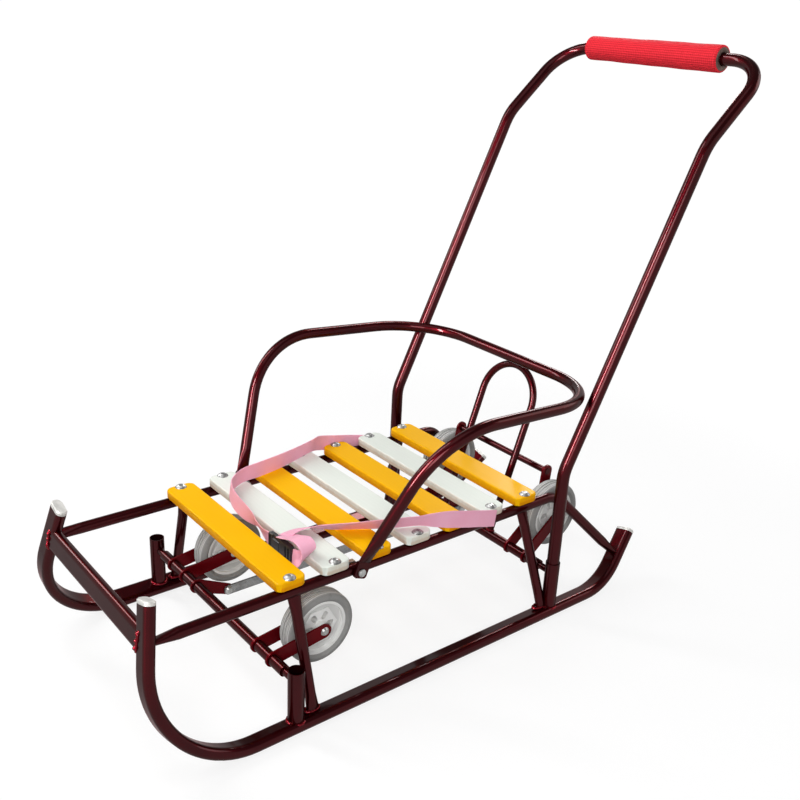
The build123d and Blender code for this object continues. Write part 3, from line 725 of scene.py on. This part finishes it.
def ribbon(stops, width, thickness, slant):
    """Points, faces, map and length of a woven band: a thin rounded oblong carried along a smooth line.

    Each stop is a place and the direction of the band's width there. The section's corners follow
    a superellipse of a high power, so the selvedges are rounded; the slant shears the first cut end
    and fades out along the band."""
    fine_steps, steps, columns, corner_power, fade = 4000, 300, 28, 0.35, 0.02
    way, long = even_way(smooth_way(stops, fine_steps), steps)
    line, across = way[:, :3], way[:, 3:6]
    ahead = unit(np.gradient(line, axis=0))
    across = unit(across - (across * ahead).sum(1, keepdims=True) * ahead)
    face = np.cross(ahead, across)
    gone = np.linspace(0.0, long, steps)
    turn = round_turn(columns)
    wide = np.sign(np.cos(turn)) * np.abs(np.cos(turn)) ** corner_power * width / 2
    thick = np.sign(np.sin(turn)) * np.abs(np.sin(turn)) ** corner_power * thickness / 2
    shear = slant * np.exp(-gone / fade)[:, None] * (wide / width)[None, :]
    skin = (
        line[:, None, :]
        + across[:, None, :] * wide[None, :, None]
        + face[:, None, :] * thick[None, :, None]
        + ahead[:, None, :] * shear[:, :, None]
    )
    ends = np.stack([skin[0].mean(0), skin[-1].mean(0)])
    u = np.broadcast_to(wide[None, :] + width / 2, (steps, columns)).ravel()
    v = np.broadcast_to(gone[:, None], (steps, columns)).ravel()
    weave = np.stack([np.append(u, [width / 2] * 2), np.append(v, [0.0, long])], axis=1)
    faces = [grid_faces(steps, columns), end_faces(steps, columns)]
    return np.concatenate([skin.reshape(-1, 3), ends]), faces, weave, long


def band_piece(name, runs, width, thickness, material):
    """One piece of webbing from its runs, each some stops and a slant, and the webbing's whole length."""
    points, faces, weaves, length_sum, count = [], [], [], 0.0, 0
    for stops, slant in runs:
        spots, parts, weave, long = ribbon(stops, width, thickness, slant)
        faces += [part + count for part in parts]
        count += len(spots)
        points.append(spots)
        weaves.append(weave)
        length_sum += long
    piece = mesh_piece(name, np.concatenate(points), faces, material)
    map_corners(piece, "weave", np.concatenate(weaves))
    return piece, length_sum


def sleeve(name, centre, start, stop, inner, outer, swell, edge, material):
    """A foam sleeve on a cross tube: rings of points whose radius swells in slow waves along and round it.

    The profile runs out along the first end, round its lip, along the skin, round the other lip and
    back inside, so the sleeve is a closed ring. The waves are sines of the way along it, of three
    lengths, and fade towards the bore; a slight taper makes the far end thinner."""
    skin_rows, columns, lip_rows = 150, 64, 7
    taper_high, taper_shift = 0.0007, 1.2
    lip = np.linspace(0, np.pi / 2, lip_rows)
    x_lip = start + edge * (1 - np.cos(lip))
    r_lip = outer - edge + edge * np.sin(lip)
    skin = np.linspace(start + edge, stop - edge, skin_rows)[1:-1]
    half_way = (inner + outer) / 2
    x = np.concatenate([[start, start], x_lip, skin, (start + stop) - x_lip[::-1], [stop, stop]])
    r = np.concatenate(
        [[inner, half_way], r_lip, np.full(len(skin), outer), r_lip[::-1], [half_way, inner]]
    )
    turn = round_turn(columns)
    bulge = (
        np.sin(x[:, None] * 61 + 1.3) * np.cos(turn[None, :] - 0.6)
        + 0.7 * np.sin(x[:, None] * 113 + 2 * turn[None, :])
        + 0.5 * np.cos(x[:, None] * 37 - 0.4)
    )
    calm = np.clip((r - inner) / (outer - inner), 0, 1) ** 2
    taper = taper_high * (2 * (x - start) / (stop - start) - taper_shift)
    reach = r[:, None] + (swell * bulge + taper[:, None]) * calm[:, None]
    points = np.stack(
        [
            np.broadcast_to(x[:, None], reach.shape),
            centre[0] + reach * np.cos(turn)[None, :],
            centre[1] + reach * np.sin(turn)[None, :],
        ],
        axis=-1,
    )
    faces = grid_faces(*reach.shape, True)[:, ::-1]
    piece = mesh_piece(name, points.reshape(-1, 3), [faces], material)
    around = np.broadcast_to(turn[None, :] * outer, reach.shape).ravel()
    along = np.broadcast_to(x[:, None], reach.shape).ravel()
    map_corners(piece, "skin", np.stack([around, along], 1))
    bare = np.broadcast_to((r < outer - edge * 0.75)[:, None], reach.shape)
    layer = piece.data.attributes.new("cut", "FLOAT", "POINT")
    layer.data.foreach_set("value", bare.astype(np.float32).ravel())
    return piece


def bead_ring(loop, radius, ripples, seed):
    """Points and faces of one weld bead: a round section carried along a closed loop, its radius rippled.

    The ripple is a rectified sine along the loop, so the bead reads as a row of overlapping scales,
    and a slower sine makes it uneven."""
    rows, columns = len(loop), 8
    ahead = unit(np.roll(loop, -1, axis=0) - np.roll(loop, 1, axis=0))
    out = unit(loop - loop.mean(0))
    out = unit(out - (out * ahead).sum(1, keepdims=True) * ahead)
    side = np.cross(ahead, out)
    turn = round_turn(columns)
    t = round_turn(rows)
    wave = 0.82 + 0.3 * np.abs(np.sin(t * ripples / 2 + seed)) + 0.1 * np.sin(3 * t + seed)
    skin = loop[:, None, :] + (radius * wave)[:, None, None] * (
        out[:, None, :] * np.cos(turn)[None, :, None] + side[:, None, :] * np.sin(turn)[None, :, None]
    )
    return skin.reshape(-1, 3), grid_faces(rows, columns, True)


def oval_loop(centre, first, second, wide, thick, steps=44, straight=0.0):
    """A closed loop: an ellipse on two directions, or a flat oval where a straight length is given."""
    t = round_turn(steps)
    u = np.cos(t) * wide + np.sign(np.cos(t)) * straight / 2
    v = np.sin(t) * thick
    return np.asarray(centre) + u[:, None] * np.asarray(first) + v[:, None] * np.asarray(second)


def bead_piece(name, loops, radius, material):
    """One mesh of many weld beads."""
    points, faces, count = [], [], 0
    for i, loop in enumerate(loops):
        around = np.linalg.norm(np.roll(loop, -1, axis=0) - loop, axis=1).sum()
        ripples = max(BEAD_LEAST_RIPPLES, round(around / BEAD_RIPPLE))
        spots, quads = bead_ring(loop, radius, ripples, i * BEAD_SEED_STEP)
        points.append(spots)
        faces.append(quads + count)
        count += len(spots)
    return mesh_piece(name, np.concatenate(points), faces, material)


def paper_bowl(name, material):
    """Studio paper: a profile carried round the upright axis, level, then a quarter circle, then upright."""
    level_rows, bend_rows, columns = 30, 17, 96
    bend = np.linspace(0.0, np.pi / 2, bend_rows)[1:]
    level = np.linspace(PAPER_MIDDLE, PAPER_REACH, level_rows)
    out = np.concatenate([level, PAPER_REACH + PAPER_BEND * np.sin(bend), [PAPER_REACH + PAPER_BEND]])
    high = np.concatenate([np.zeros(level_rows), PAPER_BEND - PAPER_BEND * np.cos(bend), [PAPER_HIGH]])
    turn = round_turn(columns)
    rows = len(out)
    points = np.stack(
        [
            out[:, None] * np.cos(turn)[None, :],
            out[:, None] * np.sin(turn)[None, :],
            np.broadcast_to(high[:, None], (rows, columns)),
        ],
        axis=-1,
    )
    points = np.concatenate([points.reshape(-1, 3), [[0.0, 0.0, 0.0]]])
    step = np.arange(columns)
    middle = np.stack([np.full(columns, rows * columns), step, (step + 1) % columns], axis=-1)
    return mesh_piece(name, points, [grid_faces(rows, columns)[:, ::-1], middle], material)


# ---------------------------------------------------------------- operators


class SLED_OT_frame(bpy.types.Operator):
    """Paint the steel frame, plate its bolts and set silver plugs"""

    bl_idname = "sled.frame"
    bl_label = "Frame finishes"

    def execute(self, context):
        own = settings().frame
        slots = {row["node"]: row["material_slot"] for row in frame["record"]["subparts"]}
        for slot, material in (
            ("frame_paint", sled_paint("frame_paint", own.paint, own.paint_deep)),
            ("cap_silver", tube_plug("tube_plug")),
            ("zinc", zinc_plate("zinc_plate", own.zinc)),
        ):
            dress([n for n, s in slots.items() if s == slot], material)
        plates = [f"{place}_fork_{side}" for place in PLACES for side, _ in SIDES]
        plates += [f"{place}_crank" for place in PLACES]
        # Painted light: the flat forks and cranks get a brighter copy of the frame paint, standing in for
        # the light on their faces.
        dress(plates, sled_paint("plate_paint_painted_light", own.plate, own.paint, metallic=0.2, coat=0.06))
        low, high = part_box("slat_bolts")
        pitch = (high[1] - low[1] - 2 * BOLT_HEAD_RADIUS) / (SLAT_COUNT - 1)
        heads = (low[1] + BOLT_HEAD_RADIUS, high[0] - BOLT_HEAD_RADIUS, pitch)
        dress(["slat_bolts"], zinc_plate("bolt_plate", own.zinc, heads))
        dress(["link_bar"], zinc_plate("link_plate", own.link))
        return {"FINISHED"}


class SLED_OT_welds(bpy.types.Operator):
    """Lay weld beads where tubes and plates meet"""

    bl_idname = "sled.welds"
    bl_label = "Weld beads"

    def upright_loops(self, place, side, across, back):
        """Beads round the feet of a socket and of a stanchion, the latter where its lowest points lie."""
        low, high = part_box(f"socket_{place}_{side}")
        middle = (np.array(low) + np.array(high)) / 2
        foot = np.array([middle[0], middle[1], SOCKET_FOOT_HEIGHT])
        socket = oval_loop(foot, across, back, SOCKET_BEAD, SOCKET_BEAD)
        low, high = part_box(f"stanchion_{place}_{side}")
        post = frame["nodes"][f"stanchion_{place}_{side}"].data
        spots = np.zeros(len(post.vertices) * 3, np.float32)
        post.vertices.foreach_get("co", spots)
        spots = spots.reshape(-1, 3)
        foot = spots[spots[:, 2] < low[2] + POST_FOOT_DEEP].mean(0)
        foot[2] = low[2] + POST_BEAD_RISE
        return [socket, oval_loop(foot, back, across, *POST_BEAD)]

    def crossbar_loops(self, sign, across):
        """A bead round one end of the bar between the noses, and three blobs in front of it."""
        low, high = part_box("crossbar")
        end = np.array([sign * (high[0] - CROSSBAR_INSET), (low[1] + high[1]) / 2, (low[2] + high[2]) / 2])
        lean = unit(np.array(CROSSBAR_LEAN))
        over = np.cross(across, lean)
        loops = [oval_loop(end, lean, over, CROSSBAR_BEAD, CROSSBAR_BEAD, 60, CROSSBAR_STRAIGHT)]
        inward, forward, upward = BLOB_SHIFT
        for rise in BLOB_RISES:
            blob = end + lean * rise + np.array([-sign * inward, -forward, upward])
            loops.append(oval_loop(blob, lean, over, *BLOB_BEAD, 16))
        return loops

    def execute(self, context):
        own = settings().frame
        # Painted highlight: the beads get a brighter red than the frame paint they are coated with.
        material = sled_paint("weld_bead_painted_light", own.bead, own.paint)
        back = np.array([0.0, 1.0, 0.0])
        fixed = []
        for side, sign in SIDES:
            across = np.array([sign, 0.0, 0.0])
            for place in PLACES:
                fixed += self.upright_loops(place, side, across, back)
            fixed += self.crossbar_loops(sign, across)
        beads = bead_piece("frame_welds", fixed, own.bead_radius, material)
        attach(beads, "frame")

        low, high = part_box("rear_tube")
        mid_y, mid_z = (low[1] + high[1]) / 2, (low[2] + high[2]) / 2
        low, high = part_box("hand_lever")
        rise = unit(np.array([0.0, math.sin(LEVER_LEAN), math.cos(LEVER_LEAN)]))
        left = np.array([1.0, 0.0, 0.0])
        feet = []
        for _, sign in SIDES:
            foot = np.array([sign * (high[0] - LEVER_RADIUS), mid_y, mid_z]) + rise * LEVER_BEAD_RISE
            feet.append(oval_loop(foot, left, np.cross(rise, left), LEVER_BEAD, LEVER_BEAD, 32))
        beads = bead_piece("lever_welds", feet, own.bead_radius * LEVER_BEAD_SHARE, material)
        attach(beads, "rear_gear")
        return {"FINISHED"}


class SLED_OT_seat(bpy.types.Operator):
    """Lacquer the slats in yellow and white by turns"""

    bl_idname = "sled.seat"
    bl_label = "Seat slats"

    def execute(self, context):
        own = settings().seat
        for i in range(1, SLAT_COUNT + 1):
            name = f"slat_{i}"
            low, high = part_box(name)
            centre, half = tuple((low + high) / 2), (high - low) / 2
            # Each slat's edge colour carries painted shade on its edges and sides.
            body, edge = (own.yellow, own.yellow_wear_and_shade) if i % 2 else (own.white, own.white_wear_and_shade)
            dress([name], slat_lacquer(f"slat_lacquer_{i}", body, edge, centre, half))
        return {"FINISHED"}


class SLED_OT_wheels(bpy.types.Operator):
    """Give the tyres their rubber and the hubs their plastic"""

    bl_idname = "sled.wheels"
    bl_label = "Wheels"

    def execute(self, context):
        for place in PLACES:
            for side, _ in SIDES:
                low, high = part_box(f"tyre_{place}_{side}")
                centre, half = tuple((low + high) / 2), (high[0] - low[0]) / 2
                rubber = tyre_rubber(f"tyre_rubber_{place}_{side}", centre, half)
                dress([f"tyre_{place}_{side}"], rubber)
                dress([f"wheel_hub_{place}_{side}"], hub_plastic(f"hub_plastic_{place}_{side}", centre))
        return {"FINISHED"}


class SLED_OT_strap(bpy.types.Operator):
    """Lay the two halves of the waist strap and finish the buckle"""

    bl_idname = "sled.strap"
    bl_label = "Waist strap"

    def execute(self, context):
        own = settings().strap
        webbing = strap_webbing("strap_webbing")
        dress(["buckle_socket", "buckle_clip"], buckle_plastic("buckle_plastic"))
        scale = np.array([0.001] * 3 + [1.0] * 3)
        shift = np.array([0.0, SEAT_Y, 0.0, 0.0, 0.0, 0.0])
        far, near, loop = (
            np.array(stops, float) * scale + shift for stops in (FAR_STOPS, NEAR_STOPS, LOOP_STOPS)
        )
        for name, node, runs in (
            ("strap_far", "strap_right", [(far, STRAP_SLANT)]),
            ("strap_near", "strap_left", [(near, STRAP_SLANT), (loop, 0.0)]),
        ):
            piece, long = band_piece(name, runs, own.width, own.thickness, webbing)
            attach(piece, "frame")
            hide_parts(node)
        return {"FINISHED"}


class SLED_OT_grip(bpy.types.Operator):
    """Pull the foam sleeve over the handle"""

    bl_idname = "sled.grip"
    bl_label = "Foam grip"

    def execute(self, context):
        own = settings().grip
        low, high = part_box("grip")
        outer = (high[2] - low[2]) / 2
        centre = ((low[1] + high[1]) / 2, (low[2] + high[2]) / 2)
        start, stop = low[0] - own.reach, high[0]
        foam = grip_foam("grip_foam")
        piece = sleeve("grip_sleeve", centre, start, stop, SLEEVE_BORE, outer, own.swell, SLEEVE_LIP, foam)
        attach(piece, "frame")
        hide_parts("grip")
        return {"FINISHED"}


class SLED_OT_studio(bpy.types.Operator):
    """Set the floor, the lamps, the white surroundings and the camera"""

    bl_idname = "sled.studio"
    bl_label = "Studio"

    def sky(self, scene, strength):
        """A plain pale world that lights the sled softly from all round."""
        world = bpy.data.worlds.new("studio_sky")
        world.use_nodes = True
        sky = world.node_tree.nodes["Background"]
        sky.inputs["Color"].default_value = (0.97, 0.98, 1.0, 1.0)
        sky.inputs["Strength"].default_value = strength
        scene.world = world

    def paper(self, tone):
        """Pale paper that keeps the sled's shadow near it and is seen as plain white further out."""
        paper = Finish("studio_floor")
        paper.look(base_color=tuple(tone), roughness=0.9, specular_ior_level=0.1)
        x, y, _ = paper.axes(paper.place())
        away = (x * x + y * y).root().ease(*PAPER_FADE)
        white = paper.mix(away, PAPER_NEAR_WHITE, PAPER_FAR_WHITE)
        glow = paper.node("ShaderNodeEmission", {}, {"Color": white, "Strength": 1.0})
        path = paper.node("ShaderNodeLightPath").outputs
        camera, glossy, through = (
            Num(paper, path[ray]) for ray in ("Is Camera Ray", "Is Glossy Ray", "Is Transmission Ray")
        )
        seen = (camera + glossy + through).clamp() * (0.6 + away * 0.4)
        merged = paper.node(
            "ShaderNodeMixShader", {}, {0: seen, 1: paper.shader.outputs[0], 2: glow.outputs[0]}
        )
        paper.put(paper.output.inputs["Surface"], merged.outputs[0])
        return paper

    def lamp(self, name, place, target, size, power, gloss_only=False):
        """An area lamp turned to a target; one for gloss only draws lines and gives no light."""
        data = bpy.data.lights.new(name, "AREA")
        data.shape = "RECTANGLE"
        data.size, data.size_y = size
        data.energy = power
        made = bpy.data.objects.new(name, data)
        made.visible_diffuse = not gloss_only
        made.location = place
        made.rotation_mode = "QUATERNION"
        made.rotation_quaternion = (Vector(target) - Vector(place)).to_track_quat("-Z", "Y")
        bpy.context.scene.collection.objects.link(made)

    def camera(self, scene, lens):
        """The photograph's camera: its axes from its turn, rise and roll, and its place from the seat."""
        turn, rise, roll = (math.radians(angle) for angle in CAMERA_ANGLES)
        level = math.cos(rise)
        back = Vector((math.sin(turn) * level, -math.cos(turn) * level, math.sin(rise)))
        right = Vector((math.cos(turn), math.sin(turn), 0.0))
        up = back.cross(right)
        turned = math.cos(roll) * right + math.sin(roll) * up
        risen = math.cos(roll) * up - math.sin(roll) * right
        data = bpy.data.cameras.new("photo_camera")
        data.lens = lens
        data.sensor_width = SENSOR_WIDTH_MM
        data.sensor_fit = "HORIZONTAL"
        data.clip_start, data.clip_end = 0.05, 50.0
        camera = bpy.data.objects.new("photo_camera", data)
        pose = Matrix((turned, risen, back)).transposed().to_4x4()
        x, y, z = CAMERA_FROM_SEAT
        pose.translation = (x, SEAT_Y + y, z)
        camera.matrix_world = pose
        scene.collection.objects.link(camera)
        scene.camera = camera

    def execute(self, context):
        own = settings().studio
        scene = context.scene
        scene.view_settings.view_transform = "Standard"
        self.sky(scene, own.sky)
        paper = self.paper(own.floor)
        paper_bowl("studio_floor", paper.material)
        sled, seat, slats = (0.0, 0.0, 0.3), (0.0, 0.0, 0.25), (0.0, 0.0, 0.2)
        self.lamp("key_lamp", (-1.4, -0.85, 1.75), sled, (0.36, 1.8), own.key)
        self.lamp("front_line", (0.1, -2.3, 1.3), sled, (0.3, 1.8), own.line, gloss_only=True)
        self.lamp("rear_line", (-1.1, 1.5, 1.6), sled, (0.3, 1.4), own.line * 0.2, gloss_only=True)
        self.lamp("back_lamp", (0.9, 2.2, 1.5), sled, (1.2, 1.2), own.fill / 3)
        self.lamp("top_lamp", (0.2, -0.4, 2.6), slats, (1.5, 1.5), own.top)
        self.lamp("fill_lamp", (1.9, -1.6, 1.5), seat, (1.2, 1.2), own.fill)
        self.camera(scene, own.lens)
        return {"FINISHED"}


class SLED_PT_looks(bpy.types.Panel):
    """The sled's looks in the sidebar"""

    bl_idname = "SLED_PT_looks"
    bl_label = "Stroller sled"
    bl_space_type = "VIEW_3D"
    bl_region_type = "UI"
    bl_category = "Sled"

    def draw(self, context):
        for group, steps in GROUPS:
            own = getattr(settings(), group)
            box = self.layout.box()
            for step in steps:
                box.operator(step.bl_idname)
            for name in own.bl_rna.properties.keys():
                if name not in ("rna_type", "name"):
                    box.prop(own, name)


GROUPS = (
    ("studio", (SLED_OT_studio,)),
    ("frame", (SLED_OT_frame, SLED_OT_welds)),
    ("seat", (SLED_OT_seat,)),
    ("wheels", (SLED_OT_wheels,)),
    ("strap", (SLED_OT_strap,)),
    ("grip", (SLED_OT_grip,)),
)
CLASSES = (
    FrameFinish, SeatFinish, WheelFinish, StrapFinish, GripFinish, StudioSettings, SledSettings,
    *(step for group, steps in GROUPS for step in steps), SLED_PT_looks,
)


def register():
    """Add the settings, operators and panel."""
    for cls in CLASSES:
        bpy.utils.register_class(cls)
    bpy.types.Scene.sled_looks = PointerProperty(type=SledSettings)


def unregister():
    """Take them away again."""
    del bpy.types.Scene.sled_looks
    for cls in reversed(CLASSES):
        bpy.utils.unregister_class(cls)


def main():
    """Build the looks in order."""
    register()
    for group, steps in GROUPS:
        for step in steps:
            space, name = step.bl_idname.split(".")
            getattr(getattr(bpy.ops, space), name)()


if __name__ == "__main__":
    main()
